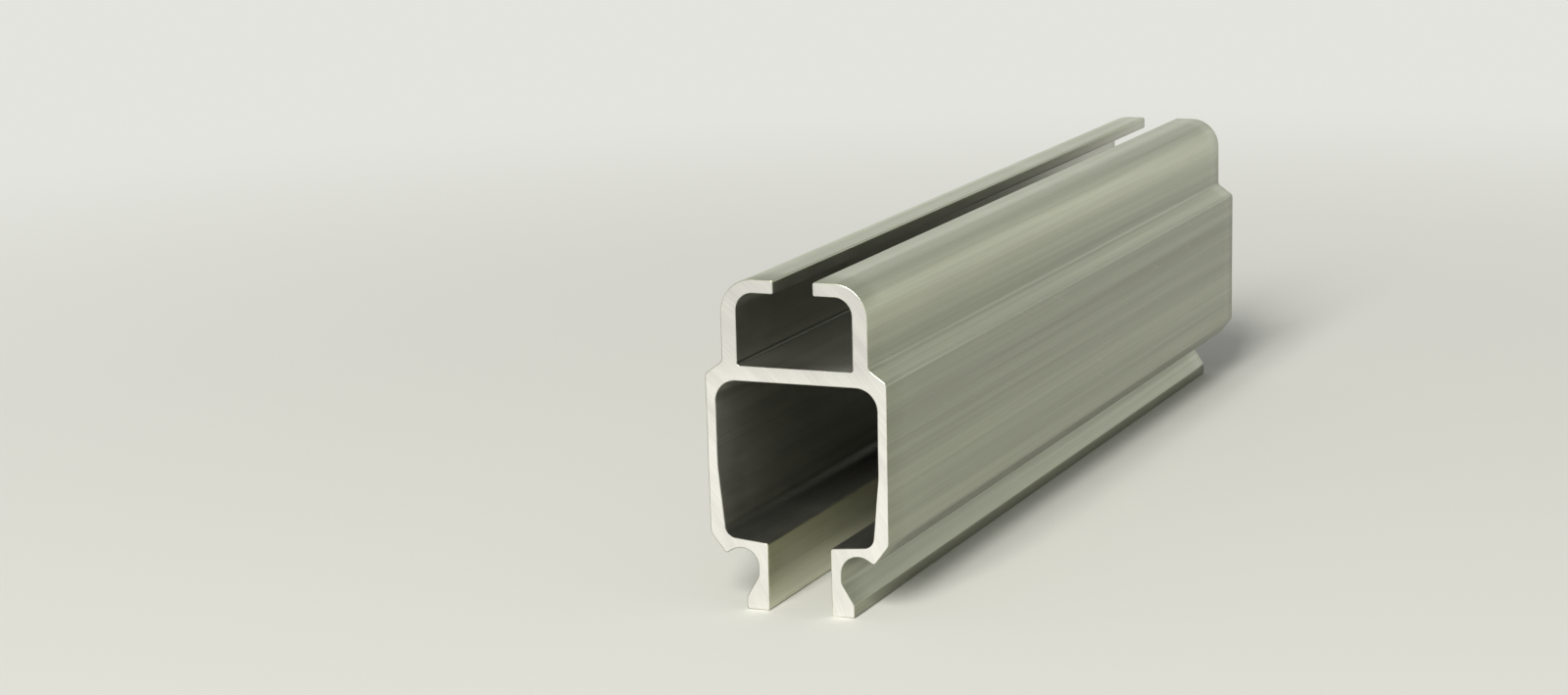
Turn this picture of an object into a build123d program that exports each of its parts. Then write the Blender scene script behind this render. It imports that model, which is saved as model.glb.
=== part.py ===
# Aluminium track profile: one straight extruded length with a T-slot channel above its web
# and a trolley channel, open downwards between two flanged feet, below it.
# X runs across the section, Y along the length and Z up. The origin is on the floor,
# midway between the feet and midway along the length.

from build123d import *
import math
import os

# Overall sizes, in millimetres
length = 435.0
overall_height = 120.0

# T-slot channel on top, hung from the lips down
upper_width = 56.0
upper_wall = 6.0
lip_thickness = 5.0
top_slot_width = 15.0
t_channel_depth = 26.2
upper_outer_radius = 12.5
upper_inner_radius = 6.5

# Web between the two channels, and the sloping shoulder outside it
web_thickness = 5.6
shoulder_width = 69.4
shoulder_above_web = 2.0
shoulder_rise = 4.9
shoulder_radius = 2.0

# Walls of the trolley channel, which thicken towards the running flanges
lower_width = 68.6
lower_wall = 3.8
lower_wall_at_flange = 6.2
chamber_top_radius = 8.0
chamber_base_radius = 4.0
thickening_height = 27.0
thickening_radius = 40.0

# Running flanges: lowest at the slot, climbing outwards
bottom_slot_width = 24.0
flange_level = 24.7
flange_slope = 5.5
flange_thickness = 3.4

# Round groove under each flange, and the beak that closes it outside
groove_radius = 6.5
groove_mouth_angle = 60.0
beak_length = 3.2
beak_radius = 1.2
lower_corner_above_flange = 2.5
lower_corner_radius = 3.0

# Legs that flare into feet below the grooves
leg_thickness = 4.0
flare_below_groove = 3.4
flare_radius = 4.0
foot_width = 8.8
foot_edge_height = 4.6
foot_edge_radius = 1.5

# Small edges
edge_radius = 0.8
web_corner_radius = 1.2
sawn_edge_chamfer = 0.3

# Levels, from the top down and from the floor up
lip_underside = overall_height - lip_thickness
web_top = lip_underside - t_channel_depth
web_underside = web_top - web_thickness
shoulder_level = web_underside + shoulder_above_web
crease_level = shoulder_level + shoulder_rise
lower_corner_level = flange_level + lower_corner_above_flange
thickening_level = flange_level + thickening_height

# Half widths, from the middle outwards
slot_edge = top_slot_width / 2
upper_outside = upper_width / 2
upper_inside = upper_outside - upper_wall
shoulder_outside = shoulder_width / 2
lower_outside = lower_width / 2
leg_inside = bottom_slot_width / 2
leg_outside = leg_inside + leg_thickness
foot_outside = leg_inside + foot_width
groove_x = leg_outside + groove_radius


# Running surface of the flange at a half width
def flange_top(half_width):
    return flange_level + (half_width - leg_inside) * math.tan(math.radians(flange_slope))


# Outside of the trolley channel's wall at a level: it leans out slightly towards the shoulder
def wall_outside(level):
    lean = (shoulder_outside - lower_outside) / (shoulder_level - lower_corner_level)
    return lower_outside + (level - lower_corner_level) * lean


# Straight runs with rounded corners, where each corner is its X, its Z and its radius
def rounded_path(start, corners, end):
    points = [(x, z) for x, z, radius in corners]
    radii = [radius for x, z, radius in corners]
    FilletPolyline(start, *points, end, radius=radii)


groove_z = flange_top(groove_x) - flange_thickness - groove_radius
chamber_base_inside = wall_outside(flange_level) - lower_wall_at_flange

with BuildPart() as track_profile:
    with BuildSketch(Plane.XZ):
        with BuildLine():
            groove = CenterArc((groove_x, groove_z), groove_radius, groove_mouth_angle, 180 - groove_mouth_angle)
            beak = groove @ 0 - groove % 0 * beak_length

            # From the top of the web round the lip, then down the outside to the groove
            rounded_path(
                (0, web_top),
                [
                    (upper_inside, web_top, web_corner_radius),
                    (upper_inside, lip_underside, upper_inner_radius),
                    (slot_edge, lip_underside, edge_radius),
                    (slot_edge, overall_height, edge_radius),
                    (upper_outside, overall_height, upper_outer_radius),
                    (upper_outside, crease_level, shoulder_radius),
                    (shoulder_outside, shoulder_level, shoulder_radius),
                    (lower_outside, lower_corner_level, lower_corner_radius),
                    (beak.X, beak.Y, beak_radius),
                ],
                groove @ 0,
            )

            # Down the leg, round the foot and up inside the trolley channel to the web
            rounded_path(
                groove @ 1,
                [
                    (leg_outside, groove_z - flare_below_groove, flare_radius),
                    (foot_outside, foot_edge_height, foot_edge_radius),
                    (foot_outside, 0, edge_radius),
                    (leg_inside, 0, edge_radius),
                    (leg_inside, flange_level, edge_radius),
                    (chamber_base_inside, flange_top(chamber_base_inside), chamber_base_radius),
                    (wall_outside(thickening_level) - lower_wall, thickening_level, thickening_radius),
                    (wall_outside(web_underside) - lower_wall, web_underside, chamber_top_radius),
                ],
                (0, web_underside),
            )
            mirror(about=Plane.YZ)
        make_face()
    extrude(amount=length / 2, both=True)
    sawn_ends = faces().filter_by(Axis.Y)
    chamfer(sawn_ends.edges(), sawn_edge_chamfer)

track_profile.part.label = "track_profile"

os.makedirs("parts", exist_ok=True)
export_step(track_profile.part, "parts/track_profile.step")
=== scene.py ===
import math

import bpy
import numpy as np
from mathutils import Matrix, Vector, geometry


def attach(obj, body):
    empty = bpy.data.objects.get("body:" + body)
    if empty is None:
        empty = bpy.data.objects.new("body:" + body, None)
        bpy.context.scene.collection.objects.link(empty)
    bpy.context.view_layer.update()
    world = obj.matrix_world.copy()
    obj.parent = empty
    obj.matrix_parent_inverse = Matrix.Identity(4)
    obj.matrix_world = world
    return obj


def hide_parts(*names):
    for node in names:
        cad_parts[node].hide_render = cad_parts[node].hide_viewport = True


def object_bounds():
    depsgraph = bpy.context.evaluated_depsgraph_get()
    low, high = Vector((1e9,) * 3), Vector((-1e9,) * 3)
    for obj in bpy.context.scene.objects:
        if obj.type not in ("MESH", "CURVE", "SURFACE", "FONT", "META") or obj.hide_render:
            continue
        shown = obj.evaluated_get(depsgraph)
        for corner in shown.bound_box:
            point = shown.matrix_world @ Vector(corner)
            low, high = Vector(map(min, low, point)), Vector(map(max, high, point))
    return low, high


# A length of extruded aluminium track, sawn off at both ends, on a pale studio floor.
# Metres, X across the section, Y along the length, Z up, feet on the floor. The section and the
# fineness of its mesh are in millimetres, and the mesh is turned into metres at the end.

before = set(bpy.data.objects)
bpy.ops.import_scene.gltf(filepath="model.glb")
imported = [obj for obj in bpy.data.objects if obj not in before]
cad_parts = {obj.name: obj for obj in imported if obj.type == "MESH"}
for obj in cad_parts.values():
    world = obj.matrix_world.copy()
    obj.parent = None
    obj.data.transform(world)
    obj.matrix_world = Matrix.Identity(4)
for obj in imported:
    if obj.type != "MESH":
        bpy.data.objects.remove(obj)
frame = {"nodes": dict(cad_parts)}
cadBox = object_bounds()
profileHeight = cadBox[1][2]
print("frame loaded:", ", ".join(frame["nodes"]))


# Camera

cameraSpot = {
    "place": (0.46121, -1.28362, 0.33116),
    "heading": 23.564,                           # degrees to the left of the length's own direction
    "tilt": 11.415,                              # degrees down
    "roll": -1.548,
    "lens": 77.746,                              # millimetres, as is the sensor
    "sensorWidth": 36.0,
}


def makeCamera(spot):
    data = bpy.data.cameras.new("camera")
    data.sensor_width = spot["sensorWidth"]
    data.lens = spot["lens"]
    camera = bpy.data.objects.new("camera", data)
    bpy.context.scene.collection.objects.link(camera)
    turn = (Matrix.Rotation(math.radians(spot["heading"]), 4, "Z")
            @ Matrix.Rotation(math.radians(90 - spot["tilt"]), 4, "X")
            @ Matrix.Rotation(math.radians(spot["roll"]), 4, "Z"))
    camera.matrix_world = Matrix.Translation(spot["place"]) @ turn
    bpy.context.scene.camera = camera


makeCamera(cameraSpot)
print("camera placed")


# Shader tools

class Value:                                     # a socket that takes part in sums
    def __init__(self, finish, socket):
        self.finish = finish
        self.socket = socket

    def combined(self, operation, other, swapped=False):
        terms = {0: other, 1: self} if swapped else {0: self, 1: other}
        return self.finish.add("Math", {"operation": operation}, terms)

    def __add__(self, other):
        return self.combined("ADD", other)

    def __radd__(self, other):
        return self.combined("ADD", other, True)

    def __sub__(self, other):
        return self.combined("SUBTRACT", other)

    def __rsub__(self, other):
        return self.combined("SUBTRACT", other, True)

    def __mul__(self, other):
        return self.combined("MULTIPLY", other)

    def __rmul__(self, other):
        return self.combined("MULTIPLY", other, True)

    def __truediv__(self, other):
        return self.combined("DIVIDE", other)

    def __rtruediv__(self, other):
        return self.combined("DIVIDE", other, True)


class Finish:                                    # a material, or the world, and its nodes
    def __init__(self, owner):
        owner.use_nodes = True
        self.owner = owner
        self.tree = owner.node_tree
        self.tree.nodes.clear()

    # settings come first, because some of them change which sockets there are
    def add(self, kind, settings, sockets, output=0):
        node = self.tree.nodes.new("ShaderNode" + kind)
        for name, setting in settings.items():
            if name == "stops":
                elements = node.color_ramp.elements
                while len(elements) < len(setting):
                    elements.new(0.5)
                for stop, (place, *tone) in zip(elements, setting):
                    stop.position = place
                    stop.color = (*(tone * 3)[:3], 1)        # a grey level, or three of them
            else:
                setattr(node, name, setting)
        for name, given in sockets.items():
            if isinstance(given, Value):
                self.tree.links.new(given.socket, node.inputs[name])
            else:
                node.inputs[name].default_value = given
        return Value(self, node.outputs[output]) if node.outputs else None

    def place(self):
        return self.add("TexCoord", {}, {}, "Object")

    def coordinate(self, where, axis):
        return self.add("SeparateXYZ", {}, {"Vector": where}, axis)

    def stretched(self, where, scale, turn=0.0):
        return self.add("Mapping", {}, {"Vector": where, "Scale": scale, "Rotation": (0, 0, turn)})

    # the unrolled surface in metres (round the section, then along it), turned and then stretched
    def unrolled(self, metres, turn, scale):
        flat = self.stretched(self.add("UVMap", {"uv_map": "OFBake"}, {}), metres, turn)
        return self.stretched(flat, scale)

    def noise(self, where, scale, detail=2.0, rough=0.5):
        sockets = {"Vector": where, "Scale": scale, "Detail": detail, "Roughness": rough}
        return self.add("TexNoise", {}, sockets, "Fac")

    def ramp(self, amount, stops):
        return self.add("ValToRGB", {"stops": stops}, {"Fac": amount})

    def smooth(self, amount, low, high):         # 0 below the low value, 1 above the high one
        sockets = {"Value": amount, "From Min": low, "From Max": high}
        return self.add("MapRange", {"interpolation_type": "SMOOTHSTEP"}, sockets)

    def mixed(self, amount, first, second):
        return self.add("Mix", {"data_type": "RGBA"}, {0: amount, 6: first, 7: second}, 2)

    def dimmed(self, tone, amount):
        return self.add("VectorMath", {"operation": "SCALE"}, {0: tone, "Scale": amount})

    def eitherShader(self, amount, first, second):
        return self.add("MixShader", {}, {0: amount, 1: first, 2: second})

    # a metal whose relief is a bump of the given depth in metres
    def metal(self, tone, metallic, roughness, relief, depth):
        bump = self.add("Bump", {}, {"Strength": 1.0, "Distance": depth, "Height": relief})
        sockets = {"Base Color": tone, "Metallic": metallic, "Roughness": roughness, "Normal": bump}
        self.add("OutputMaterial", {}, {"Surface": self.add("BsdfPrincipled", {}, sockets)})
        return self.owner


def opaque(tone):
    return (*tone, 1.0)


def byHeight(levels):                            # a ramp's stops, from millimetres above the floor
    return [(level / 1000 / profileHeight, *tone) for level, *tone in levels]


# Drawn skin

skinFinish = {
    "metallic": 0.97,
    "outerTone": (0.44, 0.455, 0.355),
    "outerPaintedShade": [                              # millimetres up, and what the outer tone is multiplied by: painted light and shade
        (0.0, 0.76), (84.0, 0.69), (85.56, 0.76),                                # feet and lower wall, darker as painted shade
        (85.92, 1.08), (89.16, 1.12), (89.64, 0.84),                             # shoulder lighter as painted light, its crease darker as painted shade
        (90.96, 0.72), (91.92, 0.72), (96.0, 0.74), (99.6, 0.88), (104.4, 0.97),     # upper wall, darker low down as painted shade
        (107.4, 1.06), (111.6, 1.04), (115.2, 1.02), (120.0, 1.0),               # upper round and lips, a little lighter as painted light
    ],
    "innerToneAndPaintedShade": [                              # inside both channels: millimetres up, and the tone there, with painted light and shade
        (0.0, 0.70, 0.70, 0.57), (7.2, 0.55, 0.55, 0.43), (14.4, 0.49, 0.49, 0.37),      # legs, lighter and darker by height as painted light and shade
        (20.4, 0.63, 0.63, 0.475), (24.0, 0.66, 0.66, 0.49),
        (24.48, 0.32, 0.32, 0.285), (25.08, 0.31, 0.31, 0.275),                  # tops of the flanges, darker as painted shade
        (25.68, 0.20, 0.20, 0.18), (27.48, 0.20, 0.20, 0.18),                    # corners at their sides, darker as painted shade against their highlight
        (28.32, 0.285, 0.285, 0.255), (29.52, 0.29, 0.29, 0.26),
        (30.72, 0.39, 0.39, 0.345), (48.0, 0.395, 0.40, 0.355),                  # walls of the chamber, darker low down as painted shade
        (60.0, 0.48, 0.485, 0.435), (84.0, 0.47, 0.475, 0.425),
        (88.74, 0.375, 0.375, 0.33), (88.86, 0.375, 0.375, 0.33),                # top of the web, darker as painted shade
        (89.04, 0.20, 0.20, 0.18), (90.0, 0.22, 0.22, 0.195),                    # corners beside it, darker as painted shade against their highlight
        (90.36, 0.47, 0.47, 0.42), (120.0, 0.50, 0.50, 0.45),                    # walls of the T-slot
    ],
    "roughness": 0.33,
    "rougherInside": [                           # millimetres up, and what the channels add to that
        (0.0, 0.10), (25.2, 0.11), (36.0, 0.17), (74.4, 0.17), (86.4, 0.03), (120.0, 0.03),
    ],

    "bandsPerMetre": 120,                        # soft streaks some 8 mm wide
    "linesPerMetre": 620,                        # die lines, a millimetre or two apart
    "alongShare": 0.006,                         # how slowly both change along the length
    "bandWeight": 1.3,
    "lineWeight": 0.7,
    "streakRamp": [(0.25, 0), (0.75, 1)],
    "streakShare": 0.26,                         # how much lighter the lightest streak is than the darkest
    "lineRoughness": 0.16,
    "lineDepth": 0.00002,                        # metres

    "mottlePerMetre": 42,
    "mottleRamp": [(0.35, 0), (0.70, 1)],
    "mottleShare": 0.05,
    "mottleRoughness": 0.14,

    "mapMetres": (0.353, 1.570, 1),              # across the bake's map, round the section and along it
    "scratches": [                               # radians, stretch, and the noise level where they begin
        (0.30, (1500, 45, 1), 0.72),
        (-0.55, (1700, 60, 1), 0.74),
    ],
    "scratchEdge": 0.08,
    "scratchTone": (0.62, 0.63, 0.58),
    "scratchShare": 0.35,
    "scratchSmoothness": 0.05,
    "scratchRelief": 0.5,                        # against the die lines' relief
}


# Handling scratches one way: thin slanting dashes, where a very stretched noise peaks.
def scratchMarks(finish, values, turn, stretch, start):
    dashes = finish.noise(finish.unrolled(values["mapMetres"], turn, stretch), 1.0, detail=1.0)
    return finish.ramp(dashes, [(start, 0), (start + values["scratchEdge"], 1)])


def makeSkin(values):
    finish = Finish(bpy.data.materials.new("mill aluminium skin"))
    place = finish.place()
    lengthwise = finish.stretched(place, (1, values["alongShare"], 1))
    bands = finish.noise(lengthwise, values["bandsPerMetre"])
    lines = finish.noise(lengthwise, values["linesPerMetre"], detail=3.0, rough=0.6)
    mottle = finish.noise(place, values["mottlePerMetre"], detail=4.0, rough=0.6)
    slanted, crossed = (scratchMarks(finish, values, *way) for way in values["scratches"])
    scratches = slanted + crossed

    height = finish.coordinate(place, "Z") / profileHeight
    hollow = finish.add("Attribute", {"attribute_name": "hollow"}, {}, "Fac")
    # painted light and shade: the outer tone made lighter or darker by height
    outer = finish.dimmed(values["outerTone"], finish.ramp(height, byHeight(values["outerPaintedShade"])))
    # inside the channels: the tone by height, with painted light and shade
    tone = finish.mixed(hollow, outer, finish.ramp(height, byHeight(values["innerToneAndPaintedShade"])))

    streaks = (bands - 0.5) * values["bandWeight"] + (lines - 0.5) * values["lineWeight"] + 0.5
    streaks = finish.ramp(streaks, values["streakRamp"])
    spots = finish.ramp(mottle, values["mottleRamp"])
    plain = 1 - values["streakShare"] / 2 - values["mottleShare"] / 2
    tone = finish.dimmed(tone, plain + streaks * values["streakShare"] + spots * values["mottleShare"])
    tone = finish.mixed(scratches * values["scratchShare"], tone, opaque(values["scratchTone"]))

    roughness = values["roughness"] + hollow * finish.ramp(height, byHeight(values["rougherInside"]))
    roughness = roughness + (0.5 - lines) * values["lineRoughness"]
    roughness = roughness + (mottle - 0.5) * values["mottleRoughness"]
    roughness = roughness - scratches * values["scratchSmoothness"]
    relief = lines - scratches * values["scratchRelief"]
    return finish.metal(tone, values["metallic"], roughness, relief, values["lineDepth"])


# Sawn ends

sawnFinish = {
    "metallic": 0.6,
    "tone": (0.75, 0.74, 0.70),
    "dullTone": (0.61, 0.60, 0.57),
    "shade": [(0.0, 1.0), (54.0, 0.98), (84.0, 0.90), (91.2, 0.78), (120.0, 0.76)],    # painted shade, darker towards the top: by millimetres up
    "roughness": 0.46,
    "blade": (-0.145, -0.055),                   # X and Z of the saw blade's centre, beside the profile
    "marks": (1300, 9.0),                        # fine ones per metre outwards, and per radian
    "markWeight": 0.6,
    "markRoughness": 0.20,
    "markDepth": 0.00003,                        # metres
    "sweeps": (170, 3.0),                        # broad ones
    "sweepWeight": 0.8,
    "sweepRoughness": 0.12,
    "dullRamp": [(0.35, 0), (0.70, 1)],
    "grainPerMetre": 1600,
    "grainRelief": 0.35,                         # against the marks' relief
}


# The saw's arcs are noise on the distance from the blade's centre and the angle about it.
def makeSawn(values):
    finish = Finish(bpy.data.materials.new("sawn aluminium"))
    place = finish.place()
    height = finish.coordinate(place, "Z")
    bladeX, bladeZ = values["blade"]
    x = finish.coordinate(place, "X") - bladeX
    z = height - bladeZ
    fromBlade = finish.add("Math", {"operation": "SQRT"}, {0: x * x + z * z})
    roundBlade = finish.add("Math", {"operation": "ARCTAN2"}, {0: z, 1: x})

    def arcs(perMetre, perRadian):
        return finish.add("CombineXYZ", {}, {"X": fromBlade * perMetre, "Y": roundBlade * perRadian})

    marks = finish.noise(arcs(*values["marks"]), 1.0, detail=3.0, rough=0.65)
    sweeps = finish.noise(arcs(*values["sweeps"]), 1.0)
    grain = finish.noise(place, values["grainPerMetre"], detail=3.0, rough=0.6)

    dull = (marks - 0.5) * values["markWeight"] + (sweeps - 0.5) * values["sweepWeight"] + 0.5
    dull = finish.ramp(dull, values["dullRamp"])
    tone = finish.mixed(dull, opaque(values["tone"]), opaque(values["dullTone"]))
    # painted shade: the sawn face darker towards its top
    tone = finish.dimmed(tone, finish.ramp(height / profileHeight, byHeight(values["shade"])))
    roughness = values["roughness"] + (marks - 0.5) * values["markRoughness"]
    roughness = roughness + (sweeps - 0.5) * values["sweepRoughness"]
    relief = marks + grain * values["grainRelief"]
    return finish.metal(tone, values["metallic"], roughness, relief, values["markDepth"])


# Profile

section = {                                      # millimetres and degrees
    "height": 120.0, "length": 435.0,
    "upperWidth": 56.0, "upperWall": 6.0, "lipThickness": 5.0, "topSlot": 15.0, "channelDepth": 26.2,
    "upperOuterRadius": 12.5, "upperInnerRadius": 6.5,
    "webThickness": 5.6, "webCornerRadius": 1.2,
    "shoulderWidth": 69.4, "shoulderAboveWeb": 2.0, "shoulderRise": 4.9, "shoulderRadius": 2.0,
    "lowerWidth": 68.6, "lowerWall": 3.8, "wallAtFlange": 6.2,
    "chamberTopRadius": 8.0, "chamberBaseRadius": 4.0,
    "thickeningHeight": 27.0, "thickeningRadius": 40.0,
    "bottomSlot": 24.0, "flangeLevel": 24.7, "flangeSlope": 5.5, "flangeThickness": 3.4,
    "grooveRadius": 6.5, "grooveMouth": 60.0, "beakLength": 3.2, "beakRadius": 1.2,
    "lowerCornerRise": 2.5, "lowerCornerRadius": 3.0,
    "legThickness": 4.0, "flareBelowGroove": 3.4, "flareRadius": 4.0,
    "footWidth": 8.8, "footEdge": 4.6, "footEdgeRadius": 1.5,
    "edgeRadius": 0.8,
}

meshing = {                                      # millimetres, where a line says nothing else
    "arcStep": 9.0,                              # degrees
    "arcReach": 0.55,                            # the longest step on a wide arc
    "straightStep": 0.62,
    "stations": 28,                              # rings along the length
    "capStep": 1.25,                             # between the points inside a sawn face
    "capClearance": 0.55,                        # share of that step that they keep from its rim
    "seed": 11,

    "dieDepth": 0.016,                           # the deepest die line
    "dieWaves": 46,
    "dieWaveCounts": (90, 760),                  # waves round the section
    "dieWaveFall": 0.35,                         # power of their fall in depth, from few waves to many
    "dieWaveHeights": (0.4, 1.0),                # against each other, before that fall
    "dieDrifts": (0.5, 3.0),                     # times that a wave swells and fades along the length
    "dieSwing": 0.25,

    "edgeRound": 0.32,                           # taken off the sawn edges
    "edgeProfile": ((0.0, 1.0), (0.22, 0.36), (0.58, 0.08), (1.0, 0.0)),     # shares inwards and along
    "edgeReach": 1.25,                           # times the round, where the die lines end
    "edgeWaves": 5,
    "edgeWaveCounts": (9, 60),
    "edgeUneven": 0.18,

    "sawDepth": 0.012,
    "sawPitch": 1.15,                            # radians of the marks for each millimetre of distance
    "sawDrift": (1.7, 0.31),                     # radians that they wander, and of that for each millimetre
}

bakeMap = {                                      # places on the bake's map, which is 1 each way
    "margin": 0.004,
    "stripWidth": 0.990,                         # half the girth
    "stripHeight": 0.277,                        # the whole length
    "stripPitch": 0.285,
    "capPlace": (0.005, 0.585),
    "capPitch": 0.5,
    "capSpan": (245, 180),                       # millimetres of sawn face to 1, up it and across it
    "capHalf": 36,                               # millimetres from the place's lower side to its middle
}


# Corners of the right half as rows of X, Z, radius and 1 where they are inside a channel, from the
# web's top round to its underside, then those of the left half in reverse. The groove is the corner
# where its two tangents meet, radius times the tangent of half its arc above its centre.
def sectionCorners(size):
    slope = math.tan(math.radians(size["flangeSlope"]))
    lipUnder = size["height"] - size["lipThickness"]
    webTop = lipUnder - size["channelDepth"]
    webUnder = webTop - size["webThickness"]
    shoulderZ = webUnder + size["shoulderAboveWeb"]
    lowerCornerZ = size["flangeLevel"] + size["lowerCornerRise"]
    thickeningZ = size["flangeLevel"] + size["thickeningHeight"]
    slotEdge = size["topSlot"] / 2
    legIn = size["bottomSlot"] / 2
    legOut = legIn + size["legThickness"]
    footOut = legIn + size["footWidth"]
    upperOut = size["upperWidth"] / 2
    upperIn = upperOut - size["upperWall"]
    lowerOut = size["lowerWidth"] / 2
    shoulderOut = size["shoulderWidth"] / 2
    lean = (shoulderOut - lowerOut) / (shoulderZ - lowerCornerZ)

    def flangeTop(x):
        return size["flangeLevel"] + (x - legIn) * slope

    def wallOut(z):
        return lowerOut + (z - lowerCornerZ) * lean

    grooveX = legOut + size["grooveRadius"]
    grooveZ = flangeTop(grooveX) - size["flangeThickness"] - size["grooveRadius"]
    mouth = math.radians(size["grooveMouth"])
    beakX = grooveX + size["grooveRadius"] * math.cos(mouth) + size["beakLength"] * math.sin(mouth)
    beakZ = grooveZ + size["grooveRadius"] * math.sin(mouth) - size["beakLength"] * math.cos(mouth)
    grooveTangents = grooveZ + size["grooveRadius"] * math.tan((math.pi - mouth) / 2)
    baseIn = wallOut(size["flangeLevel"]) - size["wallAtFlange"]
    edge = size["edgeRadius"]

    right = np.array([
        (upperIn, webTop, size["webCornerRadius"], 1),
        (upperIn, lipUnder, size["upperInnerRadius"], 1),
        (slotEdge, lipUnder, edge, 1),
        (slotEdge, size["height"], edge, 0),
        (upperOut, size["height"], size["upperOuterRadius"], 0),
        (upperOut, shoulderZ + size["shoulderRise"], size["shoulderRadius"], 0),
        (shoulderOut, shoulderZ, size["shoulderRadius"], 0),
        (lowerOut, lowerCornerZ, size["lowerCornerRadius"], 0),
        (beakX, beakZ, size["beakRadius"], 0),
        (legOut, grooveTangents, size["grooveRadius"], 0),
        (legOut, grooveZ - size["flareBelowGroove"], size["flareRadius"], 0),
        (footOut, size["footEdge"], size["footEdgeRadius"], 0),
        (footOut, 0, edge, 0),
        (legIn, 0, edge, 1),
        (legIn, size["flangeLevel"], edge, 1),
        (baseIn, flangeTop(baseIn), size["chamberBaseRadius"], 1),
        (wallOut(thickeningZ) - size["lowerWall"], thickeningZ, size["thickeningRadius"], 1),
        (wallOut(webUnder) - size["lowerWall"], webUnder, size["chamberTopRadius"], 1),
    ])
    return np.concatenate([right, right[::-1] * (-1, 1, 1, 1)])


# A vector turned anticlockwise by each of the angles, with X to the right and Z up.
def turned(vector, angle):
    cos, sin = np.cos(angle), np.sin(angle)
    return np.stack([vector[0] * cos - vector[1] * sin, vector[0] * sin + vector[1] * cos], 1)


# A closed run of straight lines with rounded corners. An arc starts and ends at its radius divided
# by the tangent of half the corner's angle from the corner, and its points turn in equal steps.
# Gives the points, the unit directions at them and how far inside a channel they count.
def roundedOutline(corners, fineness):
    point, radius, hollow = corners[:, :2], corners[:, 2], corners[:, 3]
    back = np.roll(point, 1, 0) - point
    ahead = np.roll(point, -1, 0) - point
    back /= np.linalg.norm(back, axis=1)[:, None]
    ahead /= np.linalg.norm(ahead, axis=1)[:, None]
    half = np.arccos((back * ahead).sum(1)) / 2
    reach = (radius / np.tan(half))[:, None]
    starts, ends = point + back * reach, point + ahead * reach
    turn = np.pi - 2 * half
    side = np.sign(back[:, 1] * ahead[:, 0] - back[:, 0] * ahead[:, 1])      # +1 where it turns left
    toCentre = np.stack([back[:, 1], -back[:, 0]], 1) * side[:, None]
    centres = starts + toCentre * radius[:, None]
    steps = np.maximum(np.degrees(turn) / fineness["arcStep"], turn * radius / fineness["arcReach"])
    steps = np.ceil(steps).astype(int)
    points, directions, inside = [], [], []
    for i in range(len(corners)):
        angle = np.linspace(0, turn[i], steps[i] + 1) * side[i]
        run = np.roll(starts, -1, 0)[i] - ends[i]                            # straight on to the next arc
        count = math.ceil(np.linalg.norm(run) / fineness["straightStep"])
        share = np.arange(1, count)[:, None] / count
        change = np.roll(hollow, -1)[i] - hollow[i]
        points += [centres[i] + turned(starts[i] - centres[i], angle), ends[i] + run * share]
        directions += [turned(-back[i], angle), np.repeat(ahead[i:i + 1], count - 1, 0)]
        inside += [np.full(steps[i] + 1, hollow[i]), hollow[i] + change * share[:, 0]]
    return np.concatenate(points), np.concatenate(directions), np.concatenate(inside)


# Depth of the die lines at each station along the length and distance round the section: a sum of
# cosines whose waves fit whole times round it, each swelling and fading slowly with Y.
def dieLines(around, stations, length, fineness):
    fewest, most = fineness["dieWaveCounts"]
    draw = np.random.default_rng(fineness["seed"])
    count = fineness["dieWaves"]
    waves = draw.integers(fewest, most, count)
    height = (fewest / waves) ** fineness["dieWaveFall"] * draw.uniform(*fineness["dieWaveHeights"], count)
    phase = draw.uniform(0, 2 * np.pi, count)
    drift = draw.uniform(*fineness["dieDrifts"], count)
    swelling = np.cos(stations[:, None] * drift * 2 * np.pi / length + phase)
    swing = 1 - fineness["dieSwing"] + fineness["dieSwing"] * swelling
    ripple = np.cos(2 * np.pi * around[:-1, None] * waves / around[-1] + phase) * height
    depth = swing @ ripple.T
    depth -= depth.min()
    return depth / depth.max() * fineness["dieDepth"]


# The outline carried along the length. Each ring is the outline moved into the metal by the die
# lines, and near a sawn end also by the edge's round, whose size varies as a sum of cosines. Gives
# the rings' points in X and Z, and their Y.
def carriedAlong(outline, direction, around, length, fineness):
    outwards = np.stack([-direction[:, 1], direction[:, 0]], 1)
    half = length / 2
    draw = np.random.default_rng(fineness["seed"] + 1)
    perEnd = (2, fineness["edgeWaves"], 1)
    phase = draw.uniform(0, 2 * np.pi, perEnd)
    waves = draw.integers(*fineness["edgeWaveCounts"], perEnd)
    wobble = np.cos(2 * np.pi * around[:-1] / around[-1] * waves + phase).mean(1)
    nearRound, farRound = fineness["edgeRound"] * (1 + fineness["edgeUneven"] * wobble)
    reach = half - fineness["edgeRound"] * fineness["edgeReach"]
    stations = np.linspace(-1, 1, fineness["stations"]) * reach
    depth = dieLines(around, stations, length, fineness)

    sunk, y = [], []
    for inwards, along in fineness["edgeProfile"][::-1]:
        sunk.append(depth[0] + nearRound * inwards)
        y.append(-half + nearRound * along)
    for station, lines in zip(stations[1:-1], depth[1:-1]):
        sunk.append(lines)
        y.append(np.full(len(outline), station))
    for inwards, along in fineness["edgeProfile"]:
        sunk.append(depth[-1] + farRound * inwards)
        y.append(half - farRound * along)
    return outline - outwards * np.array(sunk)[:, :, None], np.array(y)


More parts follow.
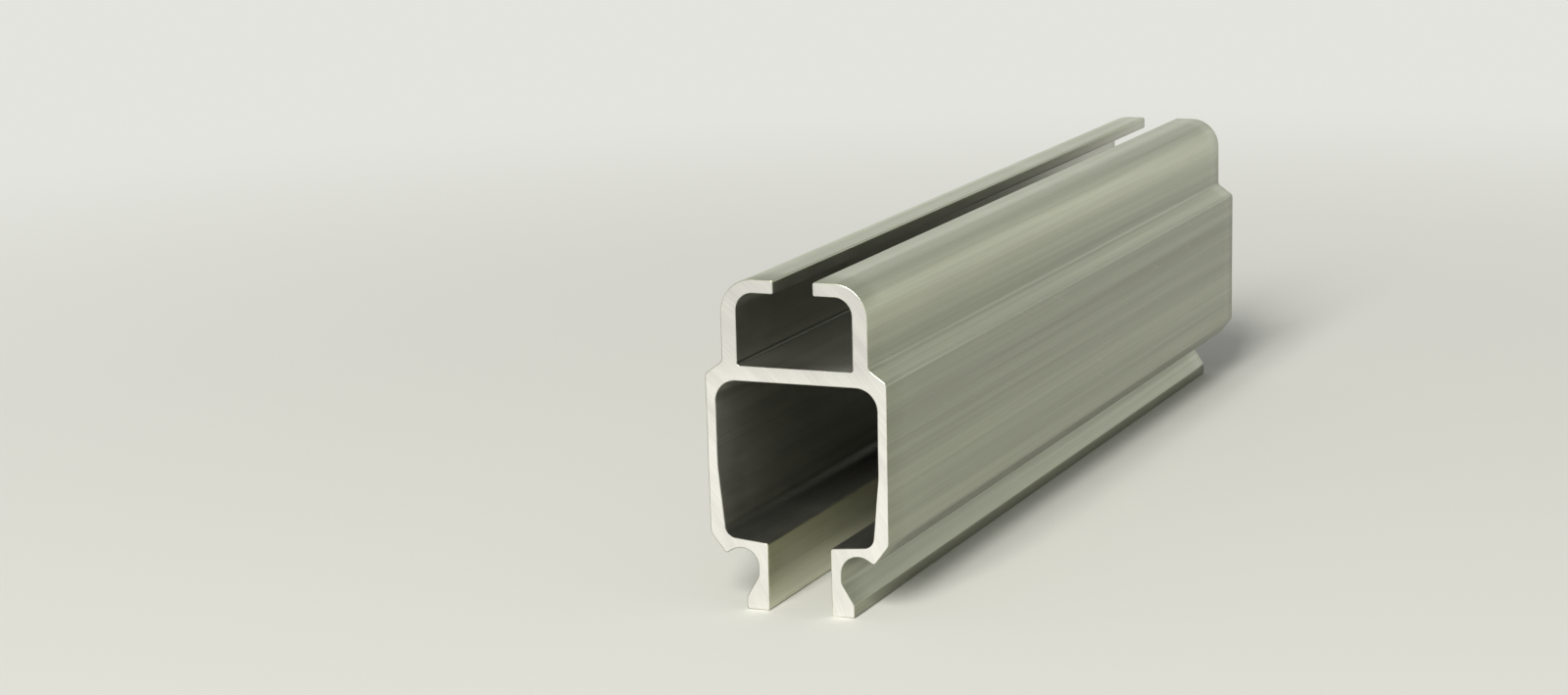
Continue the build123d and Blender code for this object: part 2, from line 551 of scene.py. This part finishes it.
# Quads between neighbouring rings, and the places of their corners on the bake's map: two strips,
# one above the other, each half the girth wide and the length high.
def shellFaces(y, around, length, layout):
    ringCount, count = y.shape
    ring, spot = np.meshgrid(np.arange(ringCount - 1), np.arange(count), indexing="ij")
    rings = np.stack([ring, ring, ring + 1, ring + 1], 2)
    spots = np.stack([spot, spot + 1, spot + 1, spot], 2)                    # the last is the first again
    quads = rings * count + spots % count
    halfGirth = around[-1] / 2
    middle = np.searchsorted(around, halfGirth)
    strip = np.repeat((spot >= middle).astype(int)[:, :, None], 4, 2)
    mapX = (around[spots] - around[middle] * strip) / halfGirth
    mapY = y[rings, spots % count] / length + 0.5
    placed = np.stack([
        layout["margin"] + layout["stripWidth"] * mapX,
        layout["margin"] + layout["stripPitch"] * strip + layout["stripHeight"] * mapY,
    ], 3)
    return quads.reshape(-1, 4), placed.reshape(-1, 2)


# Points of a square lattice that lie inside the outline and clear of it. A point is inside where a
# ray along +X crosses the outline an odd number of times.
def innerPoints(outline, fineness):
    low, high = outline.min(0), outline.max(0)
    columns, rows = (np.arange(low[k], high[k], fineness["capStep"]) for k in range(2))
    lattice = np.stack(np.meshgrid(columns, rows), 2).reshape(-1, 2)
    x, z = lattice[:, :1], lattice[:, 1:]
    x1, z1 = outline.T
    x2, z2 = np.roll(outline, -1, 0).T
    rising = (z1 > z) != (z2 > z)
    crossing = rising & (x < x1 + (z - z1) * (x2 - x1) / np.where(z2 == z1, 1, z2 - z1))
    clear = np.hypot(x - x1, z - z1).min(1) > fineness["capClearance"] * fineness["capStep"]
    return lattice[(crossing.sum(1) % 2 == 1) & clear]


# Triangles that fill the outline, with the outline's own points first and the inner ones after.
def fillSection(outline, inner):
    flat = [Vector(point) for point in np.concatenate([outline, inner])]
    spot = np.arange(len(outline))
    rim = np.stack([spot, (spot + 1) % len(outline)], 1).tolist()
    insideOnly, tolerance = 1, 1e-7
    places, _, triangles, origins, *_ = geometry.delaunay_2d_cdt(flat, rim, [], insideOnly, tolerance)
    places, triangles = np.array(places), np.array(triangles)
    a, b, c = (places[triangles[:, corner]] for corner in range(3))
    rightTurn = np.cross(b - a, c - a) < 0
    triangles[rightTurn] = triangles[rightTurn][:, ::-1]                     # all facing along -Y
    return np.array([numbers[0] for numbers in origins])[triangles]


# A sawn face, filled in from its ring and dished by shallow saw marks: a cosine of the distance from
# the blade's centre, whose pitch wanders. Gives its inner points, its triangles, in which the ring's
# points come first, and their corners' places on the bake's map.
def sawnFace(ring, far, length, blade, fineness, layout):
    side = 1 if far else -1
    inner = innerPoints(ring, fineness)
    triangles = fillSection(ring, inner)
    if far:
        triangles = triangles[:, ::-1]                                       # facing along +Y
    bladeX, bladeZ = (place * 1000 for place in blade)
    fromBlade = np.hypot(inner[:, 0] - bladeX, inner[:, 1] - bladeZ)
    wander, pace = fineness["sawDrift"]
    wave = np.cos(fromBlade * fineness["sawPitch"] + wander * np.sin(fromBlade * pace) + far)
    level = (length / 2 - (0.5 + 0.5 * wave) * fineness["sawDepth"]) * side
    points = np.stack([inner[:, 0], level, inner[:, 1]], 1)

    whole = np.concatenate([ring, inner])
    up, across = layout["capSpan"]
    left, base = layout["capPlace"]
    placed = np.stack([
        whole[:, 1] / up + left + layout["capPitch"] * far,
        (whole[:, 0] * side + layout["capHalf"]) / across + base,
    ], 1)
    return points, triangles, placed[triangles].reshape(-1, 2)


# Sharp where a saw cut meets its rounded edge: the edges round the first ring and round the last.
def markRims(mesh, count, lastRing):
    edges = np.zeros(len(mesh.edges) * 2, np.int32)
    mesh.edges.foreach_get("vertices", edges)
    a, b = edges.reshape(-1, 2).T
    first = np.maximum(a, b) < count
    last = (np.minimum(a, b) >= lastRing) & (np.maximum(a, b) < lastRing + count)
    neighbours = np.isin(np.abs(a - b), (1, count - 1))
    sharp = mesh.attributes.new("sharp_edge", "BOOLEAN", "EDGE")
    sharp.data.foreach_set("value", (first | last) & neighbours)


# The profile's mesh: a shell of rings carried along the length, with a sawn face over each end.
def makeProfile(size, fineness, layout, skin, sawn, blade):
    outline, direction, inside = roundedOutline(sectionCorners(size), fineness)
    steps = np.linalg.norm(np.roll(outline, -1, 0) - outline, axis=1)
    around = np.concatenate([[0], np.cumsum(steps)])                         # its last is the girth
    rings, y = carriedAlong(outline, direction, around, size["length"], fineness)
    count, lastRing = len(outline), (len(rings) - 1) * len(outline)
    shell = np.stack([rings[:, :, 0], y, rings[:, :, 1]], 2).reshape(-1, 3)
    quads, shellMap = shellFaces(y, around, size["length"], layout)

    points, faces, maps = [shell], [], [shellMap]
    for far, (ring, first) in enumerate(((rings[0], 0), (rings[-1], lastRing))):
        inner, triangles, capMap = sawnFace(ring, far, size["length"], blade, fineness, layout)
        made = sum(len(batch) for batch in points)
        faces.append(np.where(triangles < count, triangles + first, triangles - count + made))
        points.append(inner)
        maps.append(capMap)
    points, caps = np.concatenate(points) / 1000, np.concatenate(faces)

    mesh = bpy.data.meshes.new("track profile")
    mesh.from_pydata(points.tolist(), [], quads.tolist() + caps.tolist())
    mesh.materials.append(skin)
    mesh.materials.append(sawn)
    isSawn = np.repeat([0, 1], [len(quads), len(caps)]).astype(np.int32)
    mesh.polygons.foreach_set("material_index", isSawn)
    mesh.polygons.foreach_set("use_smooth", np.ones(len(isSawn), bool))
    layer = mesh.uv_layers.new(name="OFBake")
    layer.uv.foreach_set("vector", np.concatenate(maps).astype(np.float32).ravel())

    # 1 inside both channels, and 0 outside them and on the sawn faces
    hollow = np.zeros(len(points), np.float32)
    hollow[:len(shell)] = np.tile(inside, len(rings))
    mesh.attributes.new("hollow", "FLOAT", "POINT").data.foreach_set("value", hollow)

    markRims(mesh, count, lastRing)
    mesh.update()
    mesh.validate()
    piece = bpy.data.objects.new("extruded_track", mesh)
    bpy.context.scene.collection.objects.link(piece)
    print("profile:", count, "points round the section,", len(quads) * 2 + len(caps), "triangles")
    return piece


skin = makeSkin(skinFinish)
sawn = makeSawn(sawnFinish)
print("finishes made:", skin.name + ",", sawn.name)
profile = makeProfile(section, meshing, bakeMap, skin, sawn, sawnFinish["blade"])
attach(profile, "root")
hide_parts("track_profile")


# Floor, world and lamp

studio = {
    "backTone": (0.775, 0.780, 0.730),
    "floorTone": (0.750, 0.755, 0.704),
    "floorRadius": 12.0,
    "floorSides": 96,
    "floorRoughness": 0.75,
    "floorGloss": 0.10,
    "cloudsPerMetre": 1.6,                       # faint light and dark patches of the floor
    "cloudShare": 0.015,
    "fade": (0.25, 1.25),                        # metres out, where the floor turns into the backdrop
    "soleReach": 0.00005,                        # rays shorter than this come from the soles on the floor
    "soleGlow": 0.30,                            # and see this painted light instead of black
    "worldLevel": 0.30,
    "horizonTone": (0.97, 0.975, 0.91),          # what metal sees of the backdrop, low down
    "upperTone": (0.56, 0.565, 0.53),            # and from some 25 degrees up
    "horizonRise": (0.08, 0.44),                 # sines of the heights where the one turns into the other
}

keyLamp = {
    "place": (0.34, -6.00, 3.92),
    "aim": (0, 0, 0.05),
    "size": (2.4, 3.8),                          # metres, width and height
    "watts": 620,
    "tone": (1.0, 0.985, 0.95),
}


def makeFloor(values):
    count = values["floorSides"]
    angle = np.arange(count) * 2 * np.pi / count
    rim = np.stack([np.cos(angle), np.sin(angle), np.zeros(count)], 1) * values["floorRadius"]
    mesh = bpy.data.meshes.new("floor")
    mesh.from_pydata(rim.tolist(), [], [list(range(count))])
    floor = bpy.data.objects.new("floor", mesh)
    bpy.context.scene.collection.objects.link(floor)

    finish = Finish(bpy.data.materials.new("pale floor"))
    place = finish.place()
    cloud = finish.noise(place, values["cloudsPerMetre"], detail=3.0)
    dark = opaque(np.array(values["floorTone"]) * (1 - values["cloudShare"]))
    pale = opaque(np.array(values["floorTone"]) * (1 + values["cloudShare"]))
    sockets = {"Roughness": values["floorRoughness"], "Specular IOR Level": values["floorGloss"]}
    surface = finish.add("BsdfPrincipled", {}, {"Base Color": finish.mixed(cloud, dark, pale), **sockets})
    backdrop = finish.add("Emission", {}, {"Color": opaque(values["backTone"])})
    distance = finish.add("VectorMath", {"operation": "LENGTH"}, {0: place}, "Value")
    sweep = finish.eitherShader(finish.smooth(distance, *values["fade"]), surface, backdrop)

    # painted light: the floor glows for the soles that touch it, so their contact shadow is not black
    ray = finish.add("LightPath", {}, {}, "Ray Length")
    touching = finish.add("Math", {"operation": "LESS_THAN"}, {0: ray, 1: values["soleReach"]})
    glow = finish.add("Emission", {}, {"Strength": values["soleGlow"]})
    sweep = finish.eitherShader(touching, sweep, glow)

    fromBelow = finish.add("NewGeometry", {}, {}, "Backfacing")
    clear = finish.add("BsdfTransparent", {}, {})                            # seen through from under it
    finish.add("OutputMaterial", {}, {"Surface": finish.eitherShader(fromBelow, sweep, clear)})
    mesh.materials.append(finish.owner)


# White for the light that falls on things, the backdrop's tone for the camera, and for metal a
# backdrop that is bright low down and darker above.
def makeWorld(values):
    world = bpy.data.worlds.new("studio")
    bpy.context.scene.world = world
    finish = Finish(world)
    names = ("Is Camera Ray", "Is Glossy Ray", "Is Transmission Ray")
    camera, glossy, through = (finish.add("LightPath", {}, {}, name) for name in names)
    seen = finish.add("Math", {"operation": "MAXIMUM"}, {0: camera, 1: glossy})
    seen = finish.add("Math", {"operation": "MAXIMUM"}, {0: seen, 1: through})
    light = finish.add("Background", {}, {"Color": (1, 1, 1, 1), "Strength": values["worldLevel"]})
    rise = finish.coordinate(finish.add("TexCoord", {}, {}, "Generated"), "Z")
    upward = finish.smooth(rise, *values["horizonRise"])
    reflected = finish.mixed(upward, opaque(values["horizonTone"]), opaque(values["upperTone"]))
    tone = finish.mixed(camera, reflected, opaque(values["backTone"]))
    backdrop = finish.add("Background", {}, {"Color": tone, "Strength": 1.0})
    finish.add("OutputWorld", {}, {"Surface": finish.eitherShader(seen, light, backdrop)})


def makeLamp(values):
    data = bpy.data.lights.new("key lamp", "AREA")
    data.shape = "RECTANGLE"
    data.size, data.size_y = values["size"]
    data.energy = values["watts"]
    data.color = values["tone"]
    lamp = bpy.data.objects.new("key lamp", data)
    bpy.context.scene.collection.objects.link(lamp)
    lamp.location = values["place"]
    ahead = Vector(values["aim"]) - Vector(values["place"])
    lamp.rotation_euler = ahead.to_track_quat("-Z", "Y").to_euler()
    lamp.visible_camera = False


makeFloor(studio)
makeWorld(studio)
makeLamp(keyLamp)
bpy.context.scene.view_settings.view_transform = "Standard"
print("floor, world and lamp made")
